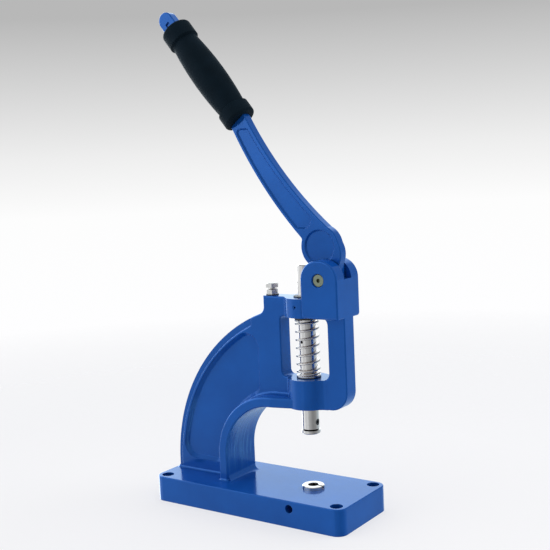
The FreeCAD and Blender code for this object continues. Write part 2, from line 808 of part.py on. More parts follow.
def make_spring():
    """One unbroken wire, closed at both ends, as a tube along quarter-turn biarcs."""
    pitch = spring_pitch()
    steps = int(round(spring_turns() * 4))
    edges = []
    for i in range(steps):
        t0 = i / 4
        t1 = (i + 1) / 4
        edges += biarc(spring_point(t0, pitch), spring_tangent(t0, pitch),
                       spring_point(t1, pitch), spring_tangent(t1, pitch))
    path = Part.Wire(edges)
    start = spring_point(0, pitch)
    ring = Part.Wire(Part.makeCircle(spring_wire_r, start, spring_tangent(0, pitch)))
    tube = path.makePipeShell([ring], True, False)
    report_spring(tube, path, pitch)
    return tube


def report_spring(tube, path, pitch):
    """Print the spring's least gap to itself, and its volume against a straight wire's."""
    per_turn = 48
    count = int(spring_turns() * per_turn)
    places = [spring_point(i / per_turn, pitch) for i in range(count + 1)]
    gap = min((places[i] - places[j]).Length for i in range(len(places))
              for j in range(i + per_turn * 3 // 4, len(places))) - spring_wire_r * 2
    share = tube.Volume / (math.pi * spring_wire_r ** 2 * path.Length)
    print("spring least gap %.2f mm, volume share %.4f" % (gap, share))


def grip_axis():
    """Start point of the grip's axis and its unit direction."""
    lean = math.radians(grip_lean_deg)
    return V(cam_x - grip_setback, 0, cam_z + grip_rise), V(-math.sin(lean), 0, math.cos(lean))


def tang_axis():
    """Start point of the tang's axis, a little to the rear of the grip's, and its direction."""
    start, along = grip_axis()
    return start - V(along.z, 0, -along.x) * tang_offset, along


def bowed(a, b, bow):
    """Arc from a to b that bows out towards the rear and down."""
    chord = point(b) - point(a)
    out = V(-chord.z, 0, chord.x).normalize()
    middle = (point(a) + point(b)) / 2 + out * bow
    return Part.Arc(point(a), middle, point(b)).toShape()


def arm_edges():
    """The arm's lower edge and its upper edge, each from the cam to the tang."""
    start, along = tang_axis()
    across = V(along.z, 0, -along.x) * (tang_width / 2)
    root = start - along * tang_lead
    under_top = root - across
    over_top = root + across
    under_root = on_circle(cam_x, cam_z, cam_r * arm_root_share, arm_under_root_deg)
    over_root = on_circle(cam_x, cam_z, cam_r * arm_root_share, arm_over_root_deg)
    under = bowed(under_root, (under_top.x, under_top.z), arm_under_bow)
    over = bowed(over_root, (over_top.x, over_top.z), arm_over_bow)
    return under, over


def lever_blank():
    """Cam disc, pivot boss, bowed arm and straight tang as one plate."""
    start, along = tang_axis()
    across = V(along.z, 0, -along.x)
    under, over = arm_edges()
    ends = [under.Vertexes[-1].Point, over.Vertexes[-1].Point]
    roots = [under.Vertexes[0].Point, over.Vertexes[0].Point]
    tip = start + along * (grip_length + tip_reach - tip_r)
    corners = [tip - across * tip_r, tip + across * tip_r]
    arm = plate([
        under,
        Part.LineSegment(ends[0], corners[0]).toShape(),
        Part.Arc(corners[0], tip + along * tip_r, corners[1]).toShape(),
        Part.LineSegment(corners[1], ends[1]).toShape(),
        over,
        Part.LineSegment(roots[1], roots[0]).toShape(),
    ], -lever_half, lever_half)
    cam = rod_y(cam_r, -lever_half, lever_half, cam_x, cam_z)
    boss = rod_y(pivot_boss_r, -lever_half, lever_half, pivot_x, pivot_z)
    neck = box(pivot_x - pivot_boss_r, pivot_x + pivot_boss_r, -lever_half, lever_half, pivot_z, cam_z)
    front_x = pivot_x - cam_front_setback
    front_z = pivot_z + cam_front_rise
    front = rod_y(cam_r, -lever_half, lever_half, front_x, front_z).common(
        box(front_x, front_x + cam_r, -lever_half, lever_half, front_z - cam_r, front_z + cam_r))
    blank = arm.fuse([cam, boss, neck, front]).removeSplitter()
    rounds = [
        (neck_rear_r, on_circle(cam_x, cam_z, cam_r, -113)),
        (arm_under_r, on_circle(cam_x, cam_z, cam_r, 157)),
        (neck_front_r, on_circle(cam_x, cam_z, cam_r, -38)),
        (arm_over_r, on_circle(cam_x, cam_z, cam_r, 75)),
        (arm_over_r, on_circle(cam_x, cam_z, cam_r, 12)),
        (tang_root_r, (ends[0].x, ends[0].z)),
        (tang_root_r, (ends[1].x, ends[1].z)),
    ]
    for radius, place in rounds:
        blank = blank.makeFillet(radius, [corner_near(blank, place)])
    return blank


def corner_near(shape, place):
    """The plate corner, an edge along Y, that lies nearest to a side point."""
    corners = [e for e in shape.Edges if lies_along(e, V(0, 1, 0))]
    return min(corners, key=lambda e: (e.CenterOfMass - point(place)).Length)


def arm_panel(y0, y1):
    """Long sunk panel that follows both edges of the bowed arm."""
    start, along = grip_axis()
    under, over = (edge.Curve for edge in arm_edges())
    inside = rod_y(under.Radius - lever_panel_under_inset, y0, y1, under.Center.x, under.Center.z)
    outside = rod_y(over.Radius + lever_panel_over_inset, y0, y1, over.Center.x, over.Center.z)
    low_z = cam_z + cam_panel_r + lever_panel_cam_gap
    top_z = start.z - lever_panel_tang_gap
    panel = inside.cut(outside).common(box(base_rear_x, post_front_x, y0, y1, low_z, top_z))
    corners = [e for e in panel.Edges if lies_along(e, V(0, 1, 0))]
    heel = max(corners, key=lambda e: e.CenterOfMass.x)
    middle = heel.CenterOfMass
    panel = panel.makeFillet(lever_panel_corner_r, [e for e in corners if e is not heel])
    heel = [e for e in panel.Edges if (e.CenterOfMass - middle).Length < push_gap]
    return panel.makeFillet(lever_panel_heel_r, heel)


def tip_pocket(y0, y1):
    start, along = tang_axis()
    middle = start + along * (grip_length + tip_reach - tip_pocket_setback)
    pocket = box(-tip_pocket_length / 2, tip_pocket_length / 2, y0, y1, -tip_pocket_width / 2,
                 tip_pocket_width / 2)
    pocket.rotate(V(0, 0, 0), V(0, 1, 0), -math.degrees(math.atan2(along.z, along.x)))
    pocket.translate(middle)
    return pocket


def make_lever():
    lever = lever_blank()
    lever = lever.makeFillet(lever_edge_r, side_edges(lever, lever_half))
    tools = []
    for side in (1, -1):
        depth = side * (lever_half - lever_panel_depth)
        mouth = side * (lever_half + cut_over)
        y0, y1 = sorted((depth, mouth))
        for tool in (rod_y(cam_panel_r, y0, y1, cam_x, cam_z), arm_panel(y0, y1)):
            bottom = [e for e in tool.Edges if at_depth(e, depth, V(0, 1, 0))]
            tools.append(tool.makeChamfer(lever_panel_slope, bottom))
        y0, y1 = sorted((side * (lever_half - tip_pocket_depth), mouth))
        tools.append(tip_pocket(y0, y1))
    land = rod_y(pivot_boss_r, -lever_half, lever_half, pivot_x, pivot_z)
    bore = rod_y(lever_bush_r + push_gap, -lever_half - cut_over, lever_half + cut_over, pivot_x, pivot_z)
    return lever.cut(tools).fuse(land).removeSplitter().cut(bore)


def make_lever_bush():
    reach = lever_half + cut_over
    bush = rod_y(lever_bush_r, -lever_half, lever_half, pivot_x, pivot_z)
    return bush.cut(rod_y(pin_r + running_gap, -reach, reach, pivot_x, pivot_z))


def make_pin():
    half = fork_half - pin_recess_depth
    pin = rod_y(pin_r, -half, half, pivot_x, pivot_z)
    pin = pin.makeChamfer(pin_chamfer, [e for e in pin.Edges if at_depth(e, half, V(0, 1, 0))
                                        or at_depth(e, -half, V(0, 1, 0))])
    tools = []
    for side in (1, -1):
        y0, y1 = sorted((side * (half - pin_centre_depth), side * (half + cut_over)))
        tools.append(rod_y(pin_centre_r, y0, y1, pivot_x, pivot_z))
    return pin.cut(tools)


def make_hub_washers():
    """Two washers that fill the slot beside the lever, as separate solids."""
    washers = []
    for side in (1, -1):
        y0, y1 = sorted((side * (lever_half + face_gap), side * (slot_half - face_gap)))
        disc = rod_y(hub_washer_r, y0, y1, pivot_x, pivot_z)
        washers.append(disc.cut(rod_y(pin_r + running_gap, y0 - cut_over, y1 + cut_over, pivot_x, pivot_z)))
    return Part.makeCompound(washers)


def make_grip():
    """Moulded sleeve: a bellied handle with a rounded collar at each end."""
    start = grip_axis()[0]
    foot_neck = grip_foot_collar + grip_neck_step
    head_neck = grip_length - grip_head_collar - grip_neck_step
    belly_z = (foot_neck + head_neck) / 2
    profile = [
        line((0, 0), (grip_foot_collar_r, 0)),
        line((grip_foot_collar_r, 0), (grip_foot_collar_r, grip_foot_collar)),
        line((grip_foot_collar_r, grip_foot_collar), (grip_foot_neck_r, foot_neck)),
        arc((grip_foot_neck_r, foot_neck), (grip_belly_r, belly_z), (grip_head_neck_r, head_neck)),
        line((grip_head_neck_r, head_neck), (grip_head_collar_r, grip_length - grip_head_collar)),
        line((grip_head_collar_r, grip_length - grip_head_collar), (grip_head_collar_r, grip_length)),
        line((grip_head_collar_r, grip_length), (0, grip_length)),
        line((0, grip_length), (0, 0)),
    ]
    sleeve = Part.Face(Part.Wire(profile)).revolve(V(0, 0, 0), V(0, 0, 1), 360)
    sleeve = sleeve.makeFillet(grip_collar_edge_r, [e for e in sleeve.Edges if is_collar_edge(e)])
    sleeve.rotate(V(0, 0, 0), V(0, 1, 0), -grip_lean_deg)
    sleeve.translate(start)
    return sleeve.cut(lever_blank())


def is_collar_edge(edge):
    """True for the outer circle at either end of the sleeve."""
    if not isinstance(edge.Curve, Part.Circle):
        return False
    wide = edge.Curve.Radius > grip_belly_r - grip_neck_step
    return wide and (at_depth(edge, 0, V(0, 0, 1)) or at_depth(edge, grip_length, V(0, 0, 1)))


def make_stop_screw():
    top = stop_head_z + stop_head_height
    head = hexagon(stop_head_flats, stop_head_z, top, stop_x)
    return head.fuse(rod_z(stop_r, head_top_z - stop_depth, stop_head_z, stop_x))


def make_stop_nut():
    nut = hexagon(stop_nut_flats, stop_nut_z, stop_nut_z + stop_nut_height, stop_x)
    bore = rod_z(stop_r + running_gap, stop_nut_z - cut_over, stop_nut_z + stop_nut_height + cut_over, stop_x)
    return nut.cut(bore)


parts = {
    "frame_casting": make_frame,
    "die_seat_ring": make_seat_ring,
    "die_lock_screw": make_lock_screw,
    "lower_guide_bush": lambda: make_bush(arm_bottom_z + lower_bush_sunk, window_floor_z),
    "upper_guide_bush": lambda: make_bush(bridge_floor_z, head_top_z),
    "bush_lock_screw": make_bush_screw,
    "ram": make_ram,
    "ram_die_screw": make_ram_screw,
    "return_spring": make_spring,
    "spring_foot_washer": lambda: make_washer(
        washer_r, ram_r + washer_gap, window_floor_z + bush_flange_height, spring_foot_z),
    "spring_head_washer": lambda: make_washer(
        washer_r, ram_r + running_gap, spring_head_z, ring_floor_z),
    "ram_retaining_ring": make_retaining_ring,
    "lever": make_lever,
    "lever_bush": make_lever_bush,
    "pivot_pin": make_pin,
    "hub_washers": make_hub_washers,
    "grip_sleeve": make_grip,
    "stop_screw": make_stop_screw,
    "stop_lock_nut": make_stop_nut,
    "stop_washer": lambda: make_washer(
        stop_washer_r, stop_r + loose_gap, head_top_z, stop_nut_z, stop_x),
}

os.makedirs("parts", exist_ok=True)
for name, make in parts.items():
    shape = make()
    if not shape.isValid() or not shape.Solids:
        raise RuntimeError(name + " is not a valid solid")
    shape.exportStep("parts/" + name + ".step")
    print("%s: %d solid(s), %.1f cm3" % (name, len(shape.Solids), shape.Volume / 1000))
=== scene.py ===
import math

import bmesh
import bpy
from mathutils import Matrix, Vector


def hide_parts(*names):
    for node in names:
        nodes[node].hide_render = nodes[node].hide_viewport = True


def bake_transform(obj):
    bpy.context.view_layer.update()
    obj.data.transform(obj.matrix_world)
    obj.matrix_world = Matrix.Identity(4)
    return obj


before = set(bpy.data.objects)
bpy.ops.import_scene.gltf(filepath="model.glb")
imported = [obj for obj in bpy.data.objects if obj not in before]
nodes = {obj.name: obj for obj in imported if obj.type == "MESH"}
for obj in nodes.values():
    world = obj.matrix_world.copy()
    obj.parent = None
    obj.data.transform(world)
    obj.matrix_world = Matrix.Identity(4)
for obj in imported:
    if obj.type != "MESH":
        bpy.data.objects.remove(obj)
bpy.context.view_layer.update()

MM = 0.001
scene = bpy.context.scene


# Camera

CAMERA_AZIMUTH = 35.051
CAMERA_ELEVATION = 6.291
CAMERA_ROLL = -2.497
CAMERA_DISTANCE = 0.918094
CAMERA_TARGET = Vector((-0.034104, 0.0, 0.228412))
PHOTO_SIDE = 550
PHOTO_FOCAL = 964.243
SENSOR = 36.0


def make_camera():
    azimuth, elevation, roll = (math.radians(v) for v in (CAMERA_AZIMUTH, CAMERA_ELEVATION, CAMERA_ROLL))
    back = Vector((math.sin(azimuth) * math.cos(elevation), -math.cos(azimuth) * math.cos(elevation),
                   math.sin(elevation)))
    right = Vector((math.cos(azimuth), math.sin(azimuth), 0.0))
    up = back.cross(right)
    leaning_right = right * math.cos(roll) + up * math.sin(roll)
    leaning_up = up * math.cos(roll) - right * math.sin(roll)
    data = bpy.data.cameras.new("camera")
    data.sensor_width = SENSOR
    data.lens = PHOTO_FOCAL * SENSOR / PHOTO_SIDE
    camera = bpy.data.objects.new("camera", data)
    scene.collection.objects.link(camera)
    turn = Matrix((leaning_right, leaning_up, back)).transposed()
    camera.matrix_world = Matrix.Translation(CAMERA_TARGET + back * CAMERA_DISTANCE) @ turn.to_4x4()
    scene.camera = camera


# Node helpers

class Graph:
    """A material's or world's node tree, with short calls to add and join nodes."""

    def __init__(self, owner):
        owner.use_nodes = True
        self.tree = owner.node_tree
        self.tree.nodes.clear()

    def add(self, kind, inputs=None, **settings):
        node = self.tree.nodes.new(kind)
        for key, value in settings.items():
            setattr(node, key, value)
        for key, value in (inputs or {}).items():
            self.put(node.inputs[key], value)
        return node

    def put(self, socket, value):
        if isinstance(value, bpy.types.NodeSocket):
            self.tree.links.new(value, socket)
        elif isinstance(value, bpy.types.Node):
            self.tree.links.new(value.outputs[0], socket)
        else:
            socket.default_value = value

    def place(self, scale=(1, 1, 1)):
        """Object coordinates in metres, stretched by scale."""
        coords = self.add("ShaderNodeTexCoord")
        return self.add("ShaderNodeMapping", {"Vector": coords.outputs["Object"], "Scale": scale})

    def noise(self, scale, detail, roughness=0.5, stretch=(1, 1, 1)):
        node = self.add("ShaderNodeTexNoise", {
            "Vector": self.place(stretch), "Scale": scale, "Detail": detail, "Roughness": roughness})
        return node.outputs["Fac"]

    def ramp(self, fac, stops):
        """Colour ramp; a stop's colour is a grey of one number or a colour of three."""
        node = self.add("ShaderNodeValToRGB", {"Fac": fac})
        ramp = node.color_ramp
        while len(ramp.elements) < len(stops):
            ramp.elements.new(1.0)
        for element, (at, colour) in zip(ramp.elements, stops):
            element.position = at
            element.color = (*colour, 1.0) if len(colour) == 3 else (colour[0],) * 3 + (1.0,)
        return node.outputs["Color"]

    def span(self, value, low, high, from_low=0.0, from_high=1.0):
        node = self.add("ShaderNodeMapRange", {"Value": value, "From Min": from_low, "From Max": from_high,
                                               "To Min": low, "To Max": high})
        return node.outputs["Result"]

    def math(self, operation, one, two):
        return self.add("ShaderNodeMath", {0: one, 1: two}, operation=operation).outputs[0]

    def mix(self, share, one, two):
        """Colour that goes from one to two as share goes from 0 to 1."""
        return self.add("ShaderNodeMix", {0: share, 6: one, 7: two}, data_type="RGBA").outputs[2]

    def bump(self, height, strength, distance, normal=None):
        node = self.add("ShaderNodeBump", {"Height": height, "Strength": strength, "Distance": distance})
        if normal is not None:
            self.put(node.inputs["Normal"], normal)
        return node.outputs["Normal"]

    def finish_surface(self, shader):
        out = self.add("ShaderNodeOutputMaterial")
        self.tree.links.new(shader.outputs[0], out.inputs["Surface"])


def linear(*rgb):
    """Scene-linear colour from screen values of 0 to 255."""
    out = []
    for value in rgb:
        c = value / 255
        out.append(c / 12.92 if c <= 0.04045 else ((c + 0.055) / 1.055) ** 2.4)
    return tuple(out)


def new_material(name):
    material = bpy.data.materials.new(name)
    return material, Graph(material)


# Blue paint: noises are scale, detail and roughness, bumps are strength and height

PAINT_DARK = linear(13, 74, 156)
PAINT_LIGHT = linear(17, 84, 171)
PAINT_TONE_SPAN = (0.25, 0.75)
PAINT_TONE_NOISE = (28.0, 4.0, 0.55)
PAINT_ROUGH = (0.10, 0.20)
PAINT_ROUGH_NOISE = (160.0, 3.0)
PAINT_IOR = 1.5
PAINT_METALLIC = 0.25
PAINT_TINT = (0.5, 0.8, 1.0, 1.0)
PAINT_EDGE_R = 0.5 * MM
PAINT_EDGE_SAMPLES = 4
WAVE_NOISE = (70.0, 3.0)
WAVE_BUMP = (0.5, 0.12 * MM)
PIMPLE_NOISE = (600.0, 2.0, 0.6)
PIMPLE_BUMP = (0.35, 0.05 * MM)

# Paler colour of the throat wall's streaks: a painted highlight
THROAT_HIGHLIGHT_COLOUR = (*linear(72, 134, 196), 1.0)
THROAT_HIGHLIGHT_COVER = 0.75
STREAK_ROUGH = 0.25
STREAK_SPAN = (0.40, 0.70)
STREAK_NOISE = (1.0, 4.0, 0.65)
STREAK_STRETCH = (30.0, 300.0, 22.0)
STREAK_BUMP = (0.4, 0.10 * MM)
# Where the streaks of painted highlight fade: in front of the wall, at its top and foot, and where it turns
# away from the ram
THROAT_FRONT_X = (-50.0 * MM, -35.0 * MM)
THROAT_TOP_Z = (92.0 * MM, 104.0 * MM)
THROAT_FOOT_Z = (28.0 * MM, 50.0 * MM)
THROAT_FACING = (0.35, 0.7)


def throat_highlight_streaks(g):
    """Share, 0 to 1, of paler streaks down the throat wall, a painted highlight."""
    low, high = STREAK_SPAN
    share = g.ramp(g.noise(*STREAK_NOISE, stretch=STREAK_STRETCH), [(low, (0.0,)), (high, (1.0,))])
    parts = g.add("ShaderNodeSeparateXYZ", {0: g.place()})
    facing = g.add("ShaderNodeSeparateXYZ", {0: g.add("ShaderNodeNewGeometry").outputs["Normal"]})
    limits = (
        g.span(parts.outputs["X"], 1.0, 0.0, *THROAT_FRONT_X),
        g.span(parts.outputs["Z"], 1.0, 0.0, *THROAT_TOP_Z),
        g.span(parts.outputs["Z"], 0.0, 1.0, *THROAT_FOOT_Z),
        g.span(facing.outputs["X"], 0.0, 1.0, *THROAT_FACING),
    )
    for limit in limits:
        share = g.math("MULTIPLY", share, limit)
    return share


def blue_paint():
    """Glossy enamel over a cast skin: low waves, fine pimples, slight changes of tone and paler streaks of
    painted highlight on the throat wall.
    """
    material, g = new_material("blue_paint")
    dark_at, light_at = PAINT_TONE_SPAN
    even = g.ramp(g.noise(*PAINT_TONE_NOISE), [(dark_at, PAINT_DARK), (light_at, PAINT_LIGHT)])
    # The throat wall's paler streaks are a painted highlight in the colour; the same streaks also roughen and
    # bump the paint.
    streaks = throat_highlight_streaks(g)
    colour = g.mix(g.span(streaks, 0.0, THROAT_HIGHLIGHT_COVER), even, THROAT_HIGHLIGHT_COLOUR)
    even_rough = g.span(g.noise(*PAINT_ROUGH_NOISE), *PAINT_ROUGH)
    rough = g.math("ADD", even_rough, g.span(streaks, 0.0, STREAK_ROUGH))
    soft_edge = g.add("ShaderNodeBevel", {"Radius": PAINT_EDGE_R}, samples=PAINT_EDGE_SAMPLES)
    drawn = g.bump(streaks, *STREAK_BUMP, soft_edge.outputs["Normal"])
    waves = g.bump(g.noise(*WAVE_NOISE), *WAVE_BUMP, drawn)
    pimples = g.bump(g.noise(*PIMPLE_NOISE), *PIMPLE_BUMP, waves)
    shader = g.add("ShaderNodeBsdfPrincipled", {
        "Base Color": colour, "Roughness": rough, "Normal": pimples, "IOR": PAINT_IOR,
        "Metallic": PAINT_METALLIC, "Specular Tint": PAINT_TINT})
    g.finish_surface(shader)
    return material


# Ground steel, with oil and painted shade inside the ram's groove and holes

GROUND_COLOUR = (0.73, 0.67, 0.645)
GROUND_ROUGH = (0.14, 0.26)
GROUND_ROUGH_NOISE = (1.0, 3.0, 0.6)
GROUND_ROUGH_STRETCH = (60.0, 60.0, 900.0)
RING_NOISE = (1.0, 2.0, 0.6)
RING_STRETCH = (14.0, 14.0, 2600.0)
RING_BUMP = (0.5, 0.012 * MM)
SMEAR_NOISE = (60.0, 3.0)
SMEAR_SPAN = (0.3, 0.7)
SMEAR_TONE = 0.90
# Near-black colour inside the ram's groove and holes: oil, and painted shade
OIL_AND_SHADE_COLOUR = (*linear(20, 20, 22), 1.0)
OIL_AND_SHADE_Z = (80.5 * MM, 200.0 * MM)
OIL_AND_SHADE_R = 7.7 * MM


def oil_and_shade_share(g):
    """1 where the surface lies inside the ram's skin, between the two heights, or else 0: there oil and
    painted shade darken it.
    """
    parts = g.add("ShaderNodeSeparateXYZ", {0: g.place()})
    square_x = g.math("POWER", parts.outputs["X"], 2.0)
    square_y = g.math("POWER", parts.outputs["Y"], 2.0)
    inside = g.math("LESS_THAN", g.math("ADD", square_x, square_y), OIL_AND_SHADE_R ** 2)
    foot_z, top_z = OIL_AND_SHADE_Z
    over = g.math("GREATER_THAN", parts.outputs["Z"], foot_z)
    under = g.math("LESS_THAN", parts.outputs["Z"], top_z)
    return g.math("MULTIPLY", inside, g.math("MULTIPLY", over, under))


def ground_steel():
    """Bright steel with fine rings about Z and faint smears, near black with oil and painted shade in the
    groove and holes.
    """
    material, g = new_material("ground_steel")
    dark_at, light_at = SMEAR_SPAN
    smeared = tuple(c * SMEAR_TONE for c in GROUND_COLOUR)
    clean = g.ramp(g.noise(*SMEAR_NOISE), [(dark_at, smeared), (light_at, GROUND_COLOUR)])
    # Oil and painted shade darken the ram's groove and holes.
    colour = g.mix(oil_and_shade_share(g), clean, OIL_AND_SHADE_COLOUR)
    rough = g.span(g.noise(*GROUND_ROUGH_NOISE, stretch=GROUND_ROUGH_STRETCH), *GROUND_ROUGH)
    rings = g.bump(g.noise(*RING_NOISE, stretch=RING_STRETCH), *RING_BUMP)
    shader = g.add("ShaderNodeBsdfPrincipled", {
        "Base Color": colour, "Metallic": 1.0, "Roughness": rough, "Normal": rings})
    g.finish_surface(shader)
    return material


# Plated and plain small parts: colour, low and high roughness, metallic share

SMALL_PARTS = {
    "spring_steel": ((0.69, 0.635, 0.61), (0.20, 0.34), 1.0),
    "black_steel": ((0.045, 0.046, 0.050), (0.30, 0.45), 0.7),
    "white_zinc": ((0.66, 0.61, 0.58), (0.26, 0.42), 1.0),
    "olive_zinc": ((0.22, 0.235, 0.17), (0.32, 0.48), 1.0),
    "bronze": ((0.46, 0.28, 0.12), (0.30, 0.45), 1.0),
}
MOTTLE_NOISE = (320.0, 4.0, 0.6)
MOTTLE_SPAN = (0.3, 0.72)
MOTTLE_TONE = 0.78
SMALL_ROUGH_NOISE = (450.0, 3.0)
SMALL_GRAIN_NOISE = (700.0, 3.0)
SMALL_GRAIN_BUMP = (0.4, 0.02 * MM)


def small_part_metal(name, colour, rough, metallic):
    """Mottled, slightly dull skin of a small part."""
    material, g = new_material(name)
    dark_at, light_at = MOTTLE_SPAN
    dull = tuple(c * MOTTLE_TONE for c in colour)
    mottled = g.ramp(g.noise(*MOTTLE_NOISE), [(dark_at, dull), (light_at, colour)])
    shader = g.add("ShaderNodeBsdfPrincipled", {
        "Base Color": mottled, "Metallic": metallic, "Roughness": g.span(g.noise(*SMALL_ROUGH_NOISE), *rough),
        "Normal": g.bump(g.noise(*SMALL_GRAIN_NOISE), *SMALL_GRAIN_BUMP)})
    g.finish_surface(shader)
    return material


# Grip sleeve

GRIP_DARK = linear(9, 21, 29)
GRIP_LIGHT = linear(13, 27, 37)
GRIP_TONE_SPAN = (0.3, 0.7)
GRIP_TONE_NOISE = (45.0, 3.0)
GRIP_ROUGH = (0.60, 0.72)
GRIP_ROUGH_NOISE = (300.0, 2.0)
GRIP_GRAIN_NOISE = (1500.0, 2.0, 0.6)
GRIP_GRAIN_BUMP = (0.35, 0.05 * MM)
GRIP_IOR = 1.14


def grip_plastic():
    """Soft satin moulded sleeve, near black with a blue-green cast and a fine even grain."""
    material, g = new_material("grip_plastic")
    dark_at, light_at = GRIP_TONE_SPAN
    colour = g.ramp(g.noise(*GRIP_TONE_NOISE), [(dark_at, GRIP_DARK), (light_at, GRIP_LIGHT)])
    grain = g.bump(g.noise(*GRIP_GRAIN_NOISE), *GRIP_GRAIN_BUMP)
    shader = g.add("ShaderNodeBsdfPrincipled", {
        "Base Color": colour, "Roughness": g.span(g.noise(*GRIP_ROUGH_NOISE), *GRIP_ROUGH), "Normal": grain,
        "IOR": GRIP_IOR})
    g.finish_surface(shader)
    return material


def dress(materials):
    """Every carried-over solid gets the procedural material of its slot."""
    for node in nodes.values():
        for at, old in enumerate(node.data.materials):
            node.data.materials[at] = materials[old.name.split(".")[0]]


# Return spring

SPRING_RADIUS = 10.5 * MM
SPRING_WIRE = 0.9 * MM
SPRING_FOOT = 135.2 * MM
SPRING_HEAD = 188.3 * MM
SPRING_SEAT_GAP = 0.1 * MM
SPRING_END_PITCH = 2.5 * MM
SPRING_TURNS = 8.0
SPRING_END_TURNS = 1.0
SPRING_RAMP = 0.5
SPRING_START = -100.0
SPRING_STEPS = 72
SPRING_SIDES = 20
SPRING_CUT_SHARE = 0.86
SPRING_NUDGE = 0.001


def spring_rise(turn):
    """Height of the wire's middle over its start: close end turns, wide ones between, short ramps."""
    room = SPRING_HEAD - SPRING_FOOT - 2.0 * (SPRING_WIRE + SPRING_SEAT_GAP)
    extra = (room - SPRING_END_PITCH * SPRING_TURNS) / (SPRING_TURNS - 2.0 * SPRING_END_TURNS)
    rise = SPRING_END_PITCH * turn
    for start, sign in ((SPRING_END_TURNS, 1.0), (SPRING_TURNS - SPRING_END_TURNS, -1.0)):
        past = turn - (start - SPRING_RAMP / 2.0)
        if past > SPRING_RAMP:
            rise += sign * extra * (past - SPRING_RAMP / 2.0)
        elif past > 0.0:
            rise += sign * extra * past ** 2 / (2.0 * SPRING_RAMP)
    return rise


def spring_place(turn):
    around = math.tau * turn + math.radians(SPRING_START)
    height = SPRING_FOOT + SPRING_SEAT_GAP + SPRING_WIRE + spring_rise(turn)
    return Vector((SPRING_RADIUS * math.cos(around), SPRING_RADIUS * math.sin(around), height))


def make_spring(material):
    """Round wire swept along the helix, a little thinner at its two cut ends."""
    count = int(SPRING_TURNS * SPRING_STEPS)
    mesh = bmesh.new()
    rings = []
    for i in range(count + 1):
        turn = i / SPRING_STEPS
        middle = spring_place(turn)
        along = (spring_place(turn + SPRING_NUDGE) - spring_place(turn - SPRING_NUDGE)).normalized()
        outward = Vector((middle.x, middle.y, 0.0)).normalized()
        outward = (outward - along * outward.dot(along)).normalized()
        across = along.cross(outward)
        radius = SPRING_WIRE * (SPRING_CUT_SHARE if i in (0, count) else 1.0)
        rings.append([mesh.verts.new(middle + (outward * math.cos(a) + across * math.sin(a)) * radius)
                      for a in (math.tau * k / SPRING_SIDES for k in range(SPRING_SIDES))])
    for one, two in zip(rings, rings[1:]):
        for k in range(SPRING_SIDES):
            after = (k + 1) % SPRING_SIDES
            mesh.faces.new((one[k], one[after], two[after], two[k])).smooth = True
    mesh.faces.new(tuple(reversed(rings[0])))
    mesh.faces.new(rings[-1])
    bmesh.ops.recalc_face_normals(mesh, faces=mesh.faces)
    data = bpy.data.meshes.new("spring_wire")
    mesh.to_mesh(data)
    mesh.free()
    spring = bpy.data.objects.new("spring_wire", data)
    scene.collection.objects.link(spring)
    data.materials.append(material)
    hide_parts("return_spring")
    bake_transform(spring)


# Floor

FLOOR_R = 6.0
FLOOR_SIDES = 64
FLOOR_FADE = (0.30, 1.3)
FLOOR_COLOUR = (0.86, 0.865, 0.875, 1.0)
FLOOR_ROUGH = 0.8
FLOOR_IOR = 1.1
PAPER_COLOUR = (*linear(245, 245, 248), 1.0)
PAPER_SHARE = 0.65


def make_floor():
    """Pale round floor that fades into the backdrop and isn't mirrored in the machine."""
    mesh = bpy.data.meshes.new("floor")
    turns = [math.tau * i / FLOOR_SIDES for i in range(FLOOR_SIDES)]
    points = [(FLOOR_R * math.cos(turn), FLOOR_R * math.sin(turn), 0.0) for turn in turns]
    mesh.from_pydata(points, [], [list(range(FLOOR_SIDES))])
    floor = bpy.data.objects.new("floor", mesh)
    scene.collection.objects.link(floor)
    material, g = new_material("floor")
    coords = g.add("ShaderNodeTexCoord")
    length = g.add("ShaderNodeVectorMath", {0: coords.outputs["Object"]}, operation="LENGTH")
    fade = g.span(length.outputs["Value"], 0.0, 1.0, *FLOOR_FADE)
    path = g.add("ShaderNodeLightPath")
    open_share = g.math("MAXIMUM", fade, path.outputs["Is Glossy Ray"])
    lit = g.add("ShaderNodeBsdfPrincipled", {
        "Base Color": FLOOR_COLOUR, "Roughness": FLOOR_ROUGH, "IOR": FLOOR_IOR})
    paper = g.add("ShaderNodeEmission", {"Color": PAPER_COLOUR, "Strength": 1.0})
    paper_share = g.math("MULTIPLY", path.outputs["Is Camera Ray"], PAPER_SHARE)
    laid = g.add("ShaderNodeMixShader", {0: paper_share, 1: lit, 2: paper})
    clear = g.add("ShaderNodeBsdfTransparent")
    g.finish_surface(g.add("ShaderNodeMixShader", {0: open_share, 1: laid, 2: clear}))
    floor.data.materials.append(material)


# Backdrop and the studio that the machine mirrors

TONE_FULL = 4.0
# Share taken from red, green and blue of a tone whose coolness is 1
COOL_CUTS = (0.22, 0.08, 0.0)


def towards(azimuth):
    """Place on the scale of the world's turn, 0 to 1, of a view azimuth in degrees."""
    turn = math.radians(azimuth)
    return (math.atan2(math.sin(turn), -math.cos(turn)) + math.pi) / math.tau


def tones(*stops):
    """Ramp stops from view azimuths, tones up to TONE_FULL, and how cool each tone is."""
    return sorted((towards(azimuth), tuple(tone / TONE_FULL * (1.0 - cool * cut) for cut in COOL_CUTS))
                  for azimuth, tone, cool in stops)


